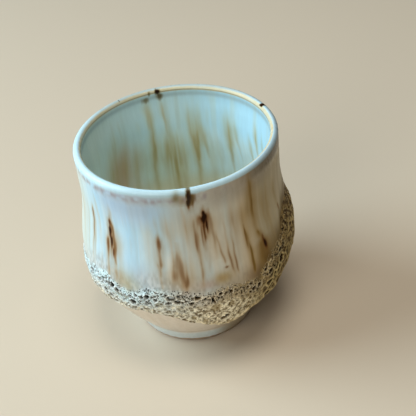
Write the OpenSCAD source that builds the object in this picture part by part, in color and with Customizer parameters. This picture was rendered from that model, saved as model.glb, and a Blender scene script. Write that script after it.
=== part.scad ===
// Handleless stoneware mug: a thrown clay body on a turned foot ring, coated with
// four smooth glazes and wrapped by a raised band of foamed crater glaze.
// Millimetres. The origin is on the axis, on the table. -Y is the front, +X is the right.

/* [Body] */
// Height from the table to the top of the lip
height = 93; // [84:0.5:110]
// Outside diameter over the lip
lip_d = 84.2; // [76:0.1:96]
// Thickness of the rounded lip
lip_t = 3.2; // [2.4:0.1:4.2]
// Outside diameter at the waist, the narrowest place under the lip
waist_d = 84; // [76:0.5:96]
// Height of the waist
waist_z = 75.5; // [68:0.5:78]
// Outside diameter at the belly, the widest place
belly_d = 91.8; // [84:0.5:104]
// Height of the belly
belly_z = 45; // [42:0.5:54]
// Thickness of the wall at the waist
waist_t = 4.2; // [3.6:0.1:6]
// Thickness of the wall at the belly
belly_t = 5.4; // [4:0.1:7]
// Thickness of the floor over the recess of the foot
floor_t = 6.5; // [4.5:0.1:9]

/* [Foot] */
// Outside diameter of the foot on the table
foot_d = 52; // [46:0.5:56]
// Diameter of the corner where the underside meets the foot
stem_d = 60; // [57:0.5:66]
// Height of that corner
stem_z = 9; // [7:0.5:12]
// How far the underside runs out for each millimetre that it rises from that corner
stem_slope = 0.75; // [0.5:0.05:1]
// Height of the foot ring, as deep as the recess inside it
ring_h = 5; // [3.5:0.1:6]
// Inside diameter of the foot ring
ring_in_d = 41; // [34:0.5:44]
// Radius of the foot ring's lower edges
ring_round = 0.8; // [0.4:0.1:1.2]

/* [Glaze] */
// Thickness of the smooth glaze coats
coat_t = 0.6; // [0.3:0.05:0.8]
// Height of the bare clay edge under the glaze of the foot
bare_h = 1; // [0.6:0.1:2]
// How far the white rim coat reaches down the outside of the lip
rim_dip = 7; // [5:0.5:12]
// Height where the outer coat meets the base coat, under the crater band
coat_line_z = 39; // [37:0.5:41]

/* [Crater band] */
// Usual height of the band's upper edge
band_top_z = 46.5; // [44:0.5:52]
// Usual height of the band's lower edge
band_low_z = 34; // [26:0.5:35]
// How far the waves of the upper edge swing up and down
band_wave = 1.7; // [0:0.1:2.5]
// Number of those waves around the mug
band_waves = 10; // [6:1:14]
// How far the upper edge climbs on the right side
surge = 23; // [8:0.5:25]
// How far the upper edge climbs at the back
back_surge = 15; // [0:0.5:18]
// How far the lower edge hangs down at the front right
sag = 17; // [6:0.5:18]
// Thickness of the crust
crust_t = 1.5; // [0.8:0.1:2.2]
// Thickness left at the thin upper edge
crust_edge_t = 0.4; // [0.2:0.05:0.7]
// Clearance between the crust and the coats that carry it
crust_gap = 0.05; // [0.02:0.01:0.1]
// How far the crust's face and its lower edge stray, up and down
crust_stray = 0.3; // [0:0.05:0.5]
// Diameter of the smallest pores
pore_small_d = 1.4; // [1:0.1:2]
// Diameter of the largest pores
pore_large_d = 3.4; // [2:0.1:4.5]
// Depth of the pores, as a share of the crust's thickness
pore_depth = 0.7; // [0.2:0.05:0.9]
// Plain crust left between the pores and the band's edges
pore_margin = 2; // [1.5:0.1:4]

/* [Hidden] */
// Radii of the glazed outside and heights that follow from the sizes above
lip_r = lip_d / 2;
waist_r = waist_d / 2;
belly_r = belly_d / 2;
stem_r = stem_d / 2;
foot_r = foot_d / 2;
ring_in_r = ring_in_d / 2;
lip_z = height - lip_t / 2;
rim_z = height - rim_dip;
floor_z = ring_h + floor_t;

// Azimuths, in degrees from the front to the right, where the band's edges leave their usual
// heights, reach their full swing, hold it, and come back
surge_at = [36, 84, 110, 165];
back_at = [155, 185, 215, 255];
sag_at = [-22, 24, 72, 125];
// Azimuth of one crest of the waves
wave_at = -17.5;

// Number of steps along each stretch of the profile, and around the revolved pieces and the pores
lower_steps = 12;
hidden_steps = 3;
upper_steps = 12;
neck_steps = 4;
lip_steps = 8;
bowl_steps = 16;
round_steps = 4;
turn_facets = 180;
pore_facets = 24;
// Pull of the bowl's curve, as a share of the belly's inside radius and of its height over the floor
bowl_reach = 0.66;
bowl_drop = 0.64;
// Sections around the crater band, rows across it, and the start of its random numbers
crust_turns = 120;
crust_rows = 8;
crust_seed = 7;
// Number of places tried for a pore, and the steps from one try to the next around, up and in size,
// which spread the tries evenly and never repeat
pore_tries = 480;
pore_step = [0.569840291, 0.754877666, 0.618033989];

// Share of the way from 0 to 1, level at both ends
function ease(t) = t * t * (3 - 2 * t);
function blend(a, b, t) = a + (b - a) * ease(t);
function share(x, from, to) = (x - from) / (to - from);
function steps(from, to, n) = [for (i = [1:n]) from + (to - from) * i / n];

// Underside: leaves the foot at its slope and reaches the belly upright
function underside_r(t) = blend(stem_r, belly_r, t) + stem_slope * (belly_z - stem_z) * t * (1 - t) * (1 - t);

// Outside radius of the glazed mug at a height below the lip
function outer_r(z) =
    z < stem_z ? foot_r + (stem_r - foot_r) * z / stem_z
    : z < belly_z ? underside_r(share(z, stem_z, belly_z))
    : z < waist_z ? blend(belly_r, waist_r, share(z, belly_z, waist_z))
    : blend(waist_r, lip_r, share(z, waist_z, lip_z));

// Inside radius of the glazed mug between the belly and the lip
function inner_r(z) =
    z < waist_z ? blend(belly_r - belly_t, waist_r - waist_t, share(z, belly_z, waist_z))
    : blend(waist_r - waist_t, lip_r - lip_t, share(z, waist_z, lip_z));

// Bowl: one cubic curve from the belly's inside to the middle of the floor
function bowl_point(t) =
    let (r = belly_r - belly_t, rise = belly_z - floor_z, s = 1 - t)
    [r * (s * s * s + 3 * s * s * t + 3 * s * t * t * bowl_reach),
     floor_z + rise * (s * s * s + 3 * s * s * t * (1 - bowl_drop))];

// Stretches of the glazed surface, from the foot up the outside, over the lip and down the inside
foot_path = [for (z = [bare_h, ring_h, stem_z]) [outer_r(z), z]];
base_path = [for (z = steps(stem_z, coat_line_z, lower_steps)) [outer_r(z), z]];
wall_path = [for (z = concat(steps(coat_line_z, belly_z, hidden_steps), steps(belly_z, waist_z, upper_steps),
                             steps(waist_z, rim_z, neck_steps))) [outer_r(z), z]];
rim_path = [for (z = steps(rim_z, lip_z, neck_steps)) [outer_r(z), z]];
lip_path = [for (a = steps(0, 180, lip_steps)) [lip_r - lip_t / 2 * (1 - cos(a)), lip_z + lip_t / 2 * sin(a)]];
inside_path = [for (z = concat(steps(lip_z, waist_z, 2 * neck_steps), steps(waist_z, belly_z, upper_steps)))
               [inner_r(z), z]];
bowl_path = [for (t = steps(0, 1, bowl_steps)) bowl_point(t)];
skin = concat(foot_path, base_path, wall_path, rim_path, lip_path, inside_path, bowl_path);

// Places on the glazed surface where one piece ends and the next begins
ring_end = 1;
base_end = len(foot_path) + len(base_path) - 1;
outer_end = base_end + len(wall_path);
rim_end = outer_end + len(rim_path) + len(lip_path);
skin_end = len(skin) - 1;

// Clay surface: the glazed surface set in by the coat, square to the wall. At the axis it lies level.
function before(i) = skin[max(i - 1, 0)];
function after(i) = i < skin_end ? skin[i + 1] : [-skin[i - 1][0], skin[i - 1][1]];
function inward(i) = let (d = after(i) - before(i)) [-d[1], d[0]] / norm(d);
clay = [for (i = [0:skin_end]) skin[i] + coat_t * inward(i)];
seat_z = clay[ring_end][1];

// Rounded lower edge of the foot ring, about the centre of its arc
function round_edge(r, from, to) =
    [for (i = [0:round_steps]) let (a = from + (to - from) * i / round_steps)
     [r + ring_round * cos(a), ring_round * (1 + sin(a))]];

// Crater band: 1 between the two middle azimuths, easing to 0 at the outer two
function swell(a, at) =
    a < at[1] ? ease(max(0, share(a, at[0], at[1])))
    : ease(max(0, min(1, share(a, at[3], at[2]))));
function band_top(a) =
    band_top_z + band_wave * cos(band_waves * (a - wave_at)) + surge * swell(a, surge_at)
    + back_surge * swell(a < 0 ? a + 360 : a, back_at);
function band_low(a) = band_low_z - sag * swell(a, sag_at);

// Point of the outside at a height, moved out square to the wall, at an azimuth
function wall_tilt(z) = (outer_r(z + 0.5) - outer_r(z - 0.5));
function proud(a, z, out) =
    let (tilt = wall_tilt(z), lean = sqrt(1 + tilt * tilt), r = outer_r(z) + out / lean)
    [r * sin(a), -r * cos(a), z - out * tilt / lean];

// Crust: thick at the lower edge and thin at the upper one, with an uneven face
crust_noise = rands(-crust_stray, crust_stray, crust_turns * crust_rows, crust_seed);
function crust_body(t) = crust_edge_t + (crust_t - crust_edge_t) * sqrt(1 - t);
function crust_out(i, j) =
    let (t = j / (crust_rows - 1), stray = j == crust_rows - 1 ? 0 : crust_noise[i * crust_rows + j])
    crust_gap + crust_body(t) + stray;
function crust_point(i, j, out) =
    let (a = 360 * i / crust_turns - 180, top = band_top(a), low = band_low(a) + crust_noise[i * crust_rows])
    proud(a, low + (top - low) * j / (crust_rows - 1), out);
// A section runs up the seat and back down the face
function crust_section(i) = concat([for (j = [0:crust_rows - 1]) crust_point(i, j, crust_gap)],
                                   [for (j = [crust_rows - 1:-1:0]) crust_point(i, j, crust_out(i, j))]);

// Pores: azimuth, height and diameter of each try that falls well inside the band
function part_of(k, i) = let (x = k * pore_step[i]) x - floor(x);
pores = [for (k = [1:pore_tries])
         let (a = 360 * part_of(k, 0) - 180, lowest = band_low_z - sag, highest = band_top_z + surge,
              z = lowest + (highest - lowest) * part_of(k, 1), s = part_of(k, 2))
         if (z > band_low(a) + pore_margin && z < band_top(a) - pore_margin)
         [a, z, pore_small_d + (pore_large_d - pore_small_d) * s * s]];

// One smooth coat of glaze between two places on the glazed surface
module coat(first, last) {
    rotate_extrude($fn = turn_facets)
        polygon(concat([for (i = [first:last]) skin[i]], [for (i = [last:-1:first]) clay[i]]));
}

// Wall and floor, thrown in one piece
module clay_body() {
    color("#b99a74")
        rotate_extrude($fn = turn_facets)
            polygon(concat([for (i = [ring_end:skin_end]) clay[i]], [[0, seat_z]]));
}

// Ring of clay under the floor, turned true, bare where it stands
module foot_ring() {
    color("#a98a66")
        rotate_extrude($fn = turn_facets)
            polygon(concat([for (i = [ring_end:-1:0]) clay[i]],
                           round_edge(clay[0][0] - ring_round, 0, -90),
                           round_edge(ring_in_r + ring_round, -90, -180),
                           [[ring_in_r, seat_z]]));
}

// Pale green coat of the inside
module liner_glaze() {
    color("#a9c6c2")
        coat(rim_end, skin_end);
}

// White coat of the lip
module rim_glaze() {
    color("#e4eef0")
        coat(outer_end, rim_end);
}

// Cream coat of the outside, down to a line that the crater band hides
module outer_glaze() {
    color("#d3d5cb")
        coat(base_end, outer_end);
}

// Beige coat of the underside and the foot
module base_glaze() {
    color("#c2b49c")
        coat(0, base_end);
}

// Foamed band around the belly, one closed skin of sections joined all the way round
module crust() {
    n = 2 * crust_rows;
    function at(i, j) = (i % crust_turns) * n + j % n;
    polyhedron(
        points = [for (i = [0:crust_turns - 1]) each crust_section(i)],
        faces = [for (i = [0:crust_turns - 1], j = [0:n - 1])
                 each [[at(i, j), at(i + 1, j + 1), at(i, j + 1)], [at(i, j), at(i + 1, j), at(i + 1, j + 1)]]]);
}

// One round pore, sunk into the crust at its azimuth and height
module pore(a, z, d) {
    thick = crust_body(share(z, band_low(a), band_top(a)));
    translate(proud(a, z, crust_gap + (1 - pore_depth) * thick + d / 2))
        sphere(d = d, $fn = pore_facets);
}

module crater_glaze() {
    color("#b3a683")
        difference() {
            crust();
            for (p = pores)
                pore(p[0], p[1], p[2]);
        }
}

clay_body();
foot_ring();
liner_glaze();
rim_glaze();
outer_glaze();
base_glaze();
crater_glaze();
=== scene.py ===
"""Handleless stoneware mug: dense turned surfaces, glaze runs and a foamed crater band.

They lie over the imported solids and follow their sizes. Lengths are in millimetres until a mesh is made.
Azimuths are in degrees from the front (-Y) to the right (+X), and heights are above the table.
"""

import math

import bpy
import numpy as np
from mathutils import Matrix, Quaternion, Vector


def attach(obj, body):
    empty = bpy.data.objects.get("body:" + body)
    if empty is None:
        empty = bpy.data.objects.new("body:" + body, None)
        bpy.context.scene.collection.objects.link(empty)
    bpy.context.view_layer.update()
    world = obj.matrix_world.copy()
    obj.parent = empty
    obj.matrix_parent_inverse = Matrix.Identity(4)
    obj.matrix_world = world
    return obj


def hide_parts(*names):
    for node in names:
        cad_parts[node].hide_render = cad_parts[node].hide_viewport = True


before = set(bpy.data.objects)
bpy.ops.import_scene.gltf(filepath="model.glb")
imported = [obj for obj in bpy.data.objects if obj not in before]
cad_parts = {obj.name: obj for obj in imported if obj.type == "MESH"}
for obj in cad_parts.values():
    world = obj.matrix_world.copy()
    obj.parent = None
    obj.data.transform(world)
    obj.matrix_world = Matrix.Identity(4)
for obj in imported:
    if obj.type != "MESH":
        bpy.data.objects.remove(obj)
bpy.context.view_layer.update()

MM = 0.001

# Sizes of the part
HEIGHT, LIP_T = 93.0, 3.2
LIP_R, WAIST_R, BELLY_R, STEM_R, FOOT_R = 42.1, 42.0, 45.9, 30.0, 26.0
WAIST_Z, BELLY_Z, STEM_Z, STEM_SLOPE = 75.5, 45.0, 9.0, 0.75
WAIST_T, BELLY_T, FLOOR_Z = 4.2, 5.4, 11.5
BOWL_REACH, BOWL_DROP = 0.66, 0.64
RING_H, RING_IN_R, RING_ROUND, BARE_H = 5.0, 20.5, 0.8, 1.0
COAT_T, RIM_Z, COAT_LINE_Z = 0.6, 86.0, 39.0
LIP_Z = HEIGHT - LIP_T / 2
# Length of one degree around the outside, at its mean radius
MEAN_R = 43.5
MM_PER_DEGREE = MEAN_R * math.pi / 180
# Points around each piece, and points of a profile before it is made even
WALL_COLS, RIM_COLS, LINER_COLS, BASE_COLS = 800, 600, 520, 480
FOOT_COLS, CLAY_COLS, CRATER_COLS = 400, 240, 900
PROFILE_ROWS = 400

# Crater band: usual heights of its edges, and how the lower edge hangs at the front right
BAND_LOW_Z, SAG, SAG_AT = 34.0, 17.0, (-22, 24, 72, 125)
# Right of its lowest place the lower edge steps up again
STEP_UP, STEP_UP_AT = 9.5, (13, 32, 56, 112)
# Thin frill above the band's upper edge on the left
FRILL, FRILL_AT = 2.0, (-84, -68, -50, -36)
# Thickness of the crust, and how far the coats lie back under it
CRUST_T, BED_T = 1.5, 0.5
# Azimuth and height of places on the band's upper edge
BAND_TOP = (
    (-180, 59), (-160, 62), (-140, 60), (-118, 50), (-90, 45), (-71, 43.5), (-60, 46.5), (-52, 48),
    (-43, 45.5), (-35, 45.5), (-23, 48.5), (-13, 48.5), (-5, 47.5), (4, 45.5), (16, 47), (26, 45),
    (34, 43.5), (39, 47), (46, 50.5), (56, 53.5), (62, 59.5), (67, 63), (78, 65), (92, 61.5), (110, 62),
    (128, 59), (145, 54), (162, 51.5),
)


def unit(x):
    """x held between 0 and 1."""
    return np.clip(x, 0, 1)


def ease(t):
    """Soft step from 0 to 1."""
    t = unit(t)
    return t * t * (3 - 2 * t)


def blend(a, b, t):
    """From a to b by a soft step."""
    return a + (b - a) * ease(t)


def window(x, start, rise, end, fall):
    """1 between start and end, with soft steps up and down inside them."""
    return ease((x - start) / rise) * ease((end - x) / fall)


def bell(x, width):
    """1 at 0, and soft slopes on both sides."""
    return np.exp(-((x / width) ** 2))


def dip(d):
    """Section of a round hollow: 1 in its middle, 0 from its edge at 1 outwards."""
    return unit(1 - unit(d) ** 3) ** 0.6


def outer_r(z):
    """Outside radius of the glazed mug at a height below the lip."""
    z = np.asarray(z, float)
    t = (z - STEM_Z) / (BELLY_Z - STEM_Z)
    foot = FOOT_R + (STEM_R - FOOT_R) * z / STEM_Z
    under = blend(STEM_R, BELLY_R, t) + STEM_SLOPE * (BELLY_Z - STEM_Z) * t * (1 - t) ** 2
    body = blend(BELLY_R, WAIST_R, (z - BELLY_Z) / (WAIST_Z - BELLY_Z))
    neck = blend(WAIST_R, LIP_R, (z - WAIST_Z) / (LIP_Z - WAIST_Z))
    return np.select([z < STEM_Z, z < BELLY_Z, z < WAIST_Z], [foot, under, body], neck)


def inner_r(z):
    """Inside radius of the glazed mug between the belly and the lip."""
    z = np.asarray(z, float)
    body = blend(BELLY_R - BELLY_T, WAIST_R - WAIST_T, (z - BELLY_Z) / (WAIST_Z - BELLY_Z))
    neck = blend(WAIST_R - WAIST_T, LIP_R - LIP_T, (z - WAIST_Z) / (LIP_Z - WAIST_Z))
    return np.where(z < WAIST_Z, body, neck)


def bowl(t):
    """Inside of the bowl, from the belly at 0 to the middle of the floor at 1."""
    s, r = 1 - t, BELLY_R - BELLY_T
    return (
        r * (s**3 + 3 * s * s * t + 3 * s * t * t * BOWL_REACH),
        FLOOR_Z + (BELLY_Z - FLOOR_Z) * (s**3 + 3 * s * s * t * (1 - BOWL_DROP)),
    )


def noise(a, v, around, along, seed):
    """Smooth noise from 0 to 1 that closes around the mug, in cells around it and along v from 0 to 1."""
    grid = np.random.default_rng(seed).random((along + 2, around))
    x, y = np.asarray(a) / 360 % 1 * around, unit(v) * along
    i, j = np.floor(x).astype(int), np.floor(y).astype(int)
    fx, fy, k = ease(x - i), ease(y - j), (i + 1) % around
    i = i % around
    low = grid[j, i] + (grid[j, k] - grid[j, i]) * fx
    high = grid[j + 1, i] + (grid[j + 1, k] - grid[j + 1, i]) * fx
    return low + (high - low) * fy


def flat_noise(x, y, size, seed):
    """Smooth noise from 0 to 1 on a plane, in cells of a size."""
    cells = 40
    grid = np.random.default_rng(seed).random((cells, cells))
    i, j = np.floor(x / size).astype(int), np.floor(y / size).astype(int)
    fx, fy = ease(x / size - i), ease(y / size - j)
    k, m = (i + 1) % cells, (j + 1) % cells
    i, j = i % cells, j % cells
    low = grid[j, i] * (1 - fx) + grid[j, k] * fx
    high = grid[m, i] * (1 - fx) + grid[m, k] * fx
    return low + (high - low) * fy


def around_from(a, centre):
    """Degrees from centre to a, the short way round."""
    return (np.asarray(a) - centre + 180) % 360 - 180


def about(a, centre, half, fade):
    """1 about a centre, down to 0 at half a width from it."""
    return ease((half - abs(around_from(a, centre))) / fade)


def blob(a, z, at, height, wide, high):
    """A soft patch at an azimuth and a height, wide in degrees and high in millimetres."""
    return np.exp(-((around_from(a, at) / wide) ** 2) - ((z - height) / high) ** 2)


def swell(a, at):
    """0 to 1 and back: up between the first two azimuths, and down between the last two."""
    a = np.asarray(a, float)
    return np.where(a < at[1], ease((a - at[0]) / (at[1] - at[0])), ease((at[3] - a) / (at[3] - at[2])))


def band_top(a):
    """Height of the crater band's upper edge, with its thin frill."""
    at = np.array([p[0] for p in BAND_TOP] + [BAND_TOP[0][0] + 360], float)
    to = np.array([p[1] for p in BAND_TOP] + [BAND_TOP[0][1]], float)
    a = (np.asarray(a, float) + 180) % 360 - 180
    k = np.clip(np.searchsorted(at, a, side="right") - 1, 0, len(at) - 2)
    return blend(to[k], to[k + 1], (a - at[k]) / (at[k + 1] - at[k])) + FRILL * swell(a, FRILL_AT)


def band_low(a):
    """Height of its ragged lower edge."""
    ragged = 1.5 * (noise(a, 0, 46, 1, 21) - 0.5) + 0.9 * (noise(a, 0, 130, 1, 22) - 0.5)
    return BAND_LOW_Z - SAG * swell(a, SAG_AT) + STEP_UP * swell(a, STEP_UP_AT) + ragged


def bed(a, z):
    """How far the coats lie back under the band, so that its pores have room."""
    return BED_T * ease(z - band_low(a) - 1) * ease((band_top(a) - 2.2 - z) / 1.2)


# Meshes
def hex_rgb(text):
    """Red, green and blue of an sRGB code, from 0 to 1."""
    return np.array([int(text[i : i + 2], 16) / 255 for i in (0, 2, 4)])


def linear(c):
    """Linear light of an sRGB colour."""
    return np.where(c <= 0.04045, c / 12.92, ((c + 0.055) / 1.055) ** 2.4)


def paint_over(base, colour, amount):
    """Paint is mixed in sRGB, as the eye sees it, and made linear when it goes onto a mesh."""
    return base + (hex_rgb(colour) - base) * np.asarray(amount)[..., None]


def ground(colour, a):
    """One colour at each of the points."""
    return np.broadcast_to(hex_rgb(colour), a.shape + (3,))


def azimuths(cols):
    """Azimuths of the points around a piece."""
    return -180 + 360 * np.arange(cols) / cols


def normals(path):
    """Unit normals of a path of (r, z) points, on the right of its direction."""
    step = np.gradient(path, axis=0)
    step /= np.linalg.norm(step, axis=1)[:, None]
    return np.stack([step[:, 1], -step[:, 0]], 1)


def resample(path, spacing):
    """The same path with points an even spacing apart."""
    path = np.asarray(path, float)
    length = np.r_[0, np.cumsum(np.linalg.norm(np.diff(path, axis=0), axis=1))]
    at = np.linspace(0, length[-1], max(2, int(round(length[-1] / spacing)) + 1))
    return np.stack([np.interp(at, length, path[:, i]) for i in (0, 1)], 1)


def turned(path, cols, out):
    """Points of a path turned about the axis and moved out along its normals."""
    n, a = normals(path), np.radians(azimuths(cols))
    out = np.broadcast_to(out, (len(path), cols))
    r = path[:, :1] + out * n[:, :1]
    z = path[:, 1:] + out * n[:, 1:]
    return np.stack([r * np.sin(a), -r * np.cos(a), z], -1)


def piece(name, points, colour, material, node, slot, close_end=False, close_start=False, **values):
    """One object from rows of points that close around the mug, with paint and values on its vertices."""
    rows, cols = points.shape[:2]
    i, j = np.arange(rows - 1)[:, None] * cols, np.arange(cols)[None]
    k = (j + 1) % cols
    faces = np.stack([i + j, i + k, i + cols + k, i + cols + j], -1).reshape(-1, 4).tolist()
    verts = points.reshape(-1, 3)
    colours = linear(colour.reshape(-1, 3))
    fields = {key: np.broadcast_to(v, (rows, cols)).ravel() for key, v in values.items()}
    for wanted, first, turn in ((close_start, 0, -1), (close_end, (rows - 1) * cols, 1)):
        if wanted:
            ring = range(first, first + cols)
            hub = len(verts)
            verts = np.vstack([verts, verts[first : first + cols].mean(0)])
            colours = np.vstack([colours, colours[first : first + cols].mean(0)])
            fields = {key: np.append(v, v[first : first + cols].mean()) for key, v in fields.items()}
            faces += [[p, first + (p - first + 1) % cols, hub][::turn] for p in ring]
    mesh = bpy.data.meshes.new(name)
    mesh.from_pydata((verts * MM).tolist(), [], faces, shade_flat=False)
    paint = mesh.color_attributes.new("paint", "FLOAT_COLOR", "POINT")
    paint.data.foreach_set("color", np.c_[colours, np.ones(len(colours))].ravel().astype(np.float32))
    for key, v in fields.items():
        mesh.attributes.new(key, "FLOAT", "POINT").data.foreach_set("value", v.astype(np.float32))
    mesh.materials.append(material)
    obj = bpy.data.objects.new(name, mesh)
    bpy.context.scene.collection.objects.link(obj)
    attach(obj, "root")
    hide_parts(node)


# Materials: sizes of the grain, of the patches of gloss and of the waves that bend the foam
GRAIN_SIZE, GLOSS_SIZE, WARP_SIZE, WARP_REACH = 1.3, 3.5, 1.6, 0.5


def glaze(name, rough, rough_swing, peel, peel_depth, coat_rough, coat=0.0, flow=1.0,
          grain=0.06, specular=0.35):
    """Procedural ceramic: the painted colour with fine grain, uneven gloss and a skin like orange peel."""
    mat = bpy.data.materials.new(name)
    mat.use_nodes = True
    nodes, links = mat.node_tree.nodes, mat.node_tree.links
    shader = nodes["Principled BSDF"]
    shader.inputs["Specular IOR Level"].default_value = specular
    shader.inputs["Coat Weight"].default_value = coat
    shader.inputs["Coat Roughness"].default_value = coat_rough
    place = nodes.new("ShaderNodeTexCoord")
    squeeze = nodes.new("ShaderNodeMapping")
    squeeze.inputs["Scale"].default_value = (1, 1, flow)
    links.new(place.outputs["Object"], squeeze.inputs["Vector"])

    def speckle(size, detail, source=squeeze.outputs["Vector"]):
        n = nodes.new("ShaderNodeTexNoise")
        n.inputs["Scale"].default_value = 1 / (size * MM)
        n.inputs["Detail"].default_value = detail
        links.new(source, n.inputs["Vector"])
        return n.outputs["Fac"]

    def spread(value, low, high):
        n = nodes.new("ShaderNodeMapRange")
        n.inputs["From Min"].default_value, n.inputs["From Max"].default_value = 0.3, 0.7
        n.inputs["To Min"].default_value, n.inputs["To Max"].default_value = low, high
        links.new(value, n.inputs["Value"])
        return n.outputs["Result"]

    paint = nodes.new("ShaderNodeAttribute")
    paint.attribute_name = "paint"
    tint = nodes.new("ShaderNodeVectorMath")
    tint.operation = "SCALE"
    links.new(paint.outputs["Color"], tint.inputs[0])
    links.new(spread(speckle(GRAIN_SIZE, 4), 1 - grain, 1 + grain * 0.6), tint.inputs["Scale"])
    links.new(tint.outputs["Vector"], shader.inputs["Base Color"])
    gloss = spread(speckle(GLOSS_SIZE, 3), rough - rough_swing, rough + rough_swing)
    links.new(gloss, shader.inputs["Roughness"])
    bump = nodes.new("ShaderNodeBump")
    bump.inputs["Strength"].default_value = 1
    bump.inputs["Distance"].default_value = peel_depth * MM
    links.new(speckle(peel, 2, place.outputs["Object"]), bump.inputs["Height"])
    links.new(bump.outputs["Normal"], shader.inputs["Normal"])
    return mat


SATIN = glaze("satin_glaze", rough=0.36, rough_swing=0.06, peel=2.2, peel_depth=0.02,
              coat_rough=0.16, flow=0.12, grain=0.04, specular=0.05)
GLOSSY = glaze("glossy_white_glaze", rough=0.28, rough_swing=0.05, peel=2.6, peel_depth=0.015, coat=0.06,
               coat_rough=0.08, flow=0.3, grain=0.03, specular=0.15)
LINER = glaze("celadon_liner_glaze", rough=0.34, rough_swing=0.06, peel=2.4, peel_depth=0.02, coat=0.15,
              coat_rough=0.12, flow=0.12, grain=0.04)
BASE = glaze("beige_base_glaze", rough=0.42, rough_swing=0.06, peel=2.0, peel_depth=0.025, coat=0.15,
             coat_rough=0.2, flow=0.4)
CLAY = glaze("stoneware_clay", rough=0.82, rough_swing=0.08, peel=0.7, peel_depth=0.09,
             coat_rough=0.2, grain=0.22)
FOAM = glaze("crater_foam_glaze", rough=0.55, rough_swing=0.12, peel=0.45, peel_depth=0.1,
             coat_rough=0.25, grain=0.2, specular=0.08)


def add_foam(mat, cell, ridge, hollow, hole_cell, relief_depth):
    """Fine foam between the pores of the mesh: pale cell walls over brown hollows, partly the foam's colour
    and partly painted highlight and shade, and small holes in painted shade.

    The values foam and holes on the mesh say how strong each is.
    """
    nodes, links = mat.node_tree.nodes, mat.node_tree.links
    shader = nodes["Principled BSDF"]
    place = nodes["Texture Coordinate"].outputs["Object"]

    def node(kind, **constants):
        n = nodes.new("ShaderNode" + kind)
        for key, v in constants.items():
            n.inputs[key.replace("_", " ")].default_value = v
        return n

    def value(name):
        n = nodes.new("ShaderNodeAttribute")
        n.attribute_name = name
        return n.outputs["Fac"]

    def span(source, from_low, from_high, to_low, to_high):
        n = node("MapRange", From_Min=from_low, From_Max=from_high, To_Min=to_low, To_Max=to_high)
        links.new(source, n.inputs["Value"])
        return n.outputs["Result"]

    def times(x, y, operation="MULTIPLY"):
        n = nodes.new("ShaderNodeMath")
        n.operation = operation
        links.new(x, n.inputs[0])
        links.new(y, n.inputs[1])
        return n.outputs[0]

    warp = node("TexNoise", Scale=1 / (WARP_SIZE * MM), Detail=2)
    links.new(place, warp.inputs["Vector"])
    shift = nodes.new("ShaderNodeVectorMath")
    shift.operation = "MULTIPLY_ADD"
    shift.inputs[1].default_value = (WARP_REACH * MM,) * 3
    links.new(warp.outputs["Color"], shift.inputs[0])
    links.new(place, shift.inputs[2])
    cells = node("TexVoronoi", Scale=1 / (cell * MM))
    cells.feature = "DISTANCE_TO_EDGE"
    links.new(shift.outputs["Vector"], cells.inputs["Vector"])
    # Painted highlight on the cell walls and painted shade in the hollows, partly the foam's colour
    shade = nodes.new("ShaderNodeMix")
    shade.inputs["A"].default_value = 1
    links.new(value("foam"), shade.inputs["Factor"])
    links.new(span(cells.outputs["Distance"], 0.08, 0.32, ridge, hollow), shade.inputs["B"])
    spots = node("TexVoronoi", Scale=1 / (hole_cell * MM))
    links.new(place, spots.inputs["Vector"])
    chance = nodes.new("ShaderNodeSeparateColor")
    links.new(spots.outputs["Color"], chance.inputs["Color"])
    radius = times(span(chance.outputs["Red"], 0.1, 1, 0.1, 0.56), value("holes"))
    hole = span(times(radius, spots.outputs["Distance"], "SUBTRACT"), 0, 0.08, 0, 1)
    painted = shader.inputs["Base Color"].links[0].from_socket
    tint = nodes.new("ShaderNodeVectorMath")
    tint.operation = "SCALE"
    links.new(painted, tint.inputs[0])
    links.new(shade.outputs["Result"], tint.inputs["Scale"])
    # Painted shade: the small holes nearly black
    dark = nodes.new("ShaderNodeMix")
    dark.data_type = "RGBA"
    dark.inputs["B"].default_value = (0.012, 0.008, 0.005, 1)
    links.new(hole, dark.inputs["Factor"])
    links.new(tint.outputs["Vector"], dark.inputs["A"])
    links.new(dark.outputs["Result"], shader.inputs["Base Color"])
    relief = node("Bump", Distance=relief_depth * MM)
    links.new(times(shade.outputs["Result"], hole, "SUBTRACT"), relief.inputs["Height"])
    links.new(nodes["Bump"].outputs["Normal"], relief.inputs["Normal"])
    links.new(relief.outputs["Normal"], shader.inputs["Normal"])


add_foam(FOAM, cell=1.0, ridge=1.22, hollow=0.5, hole_cell=0.7, relief_depth=0.28)

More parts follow.
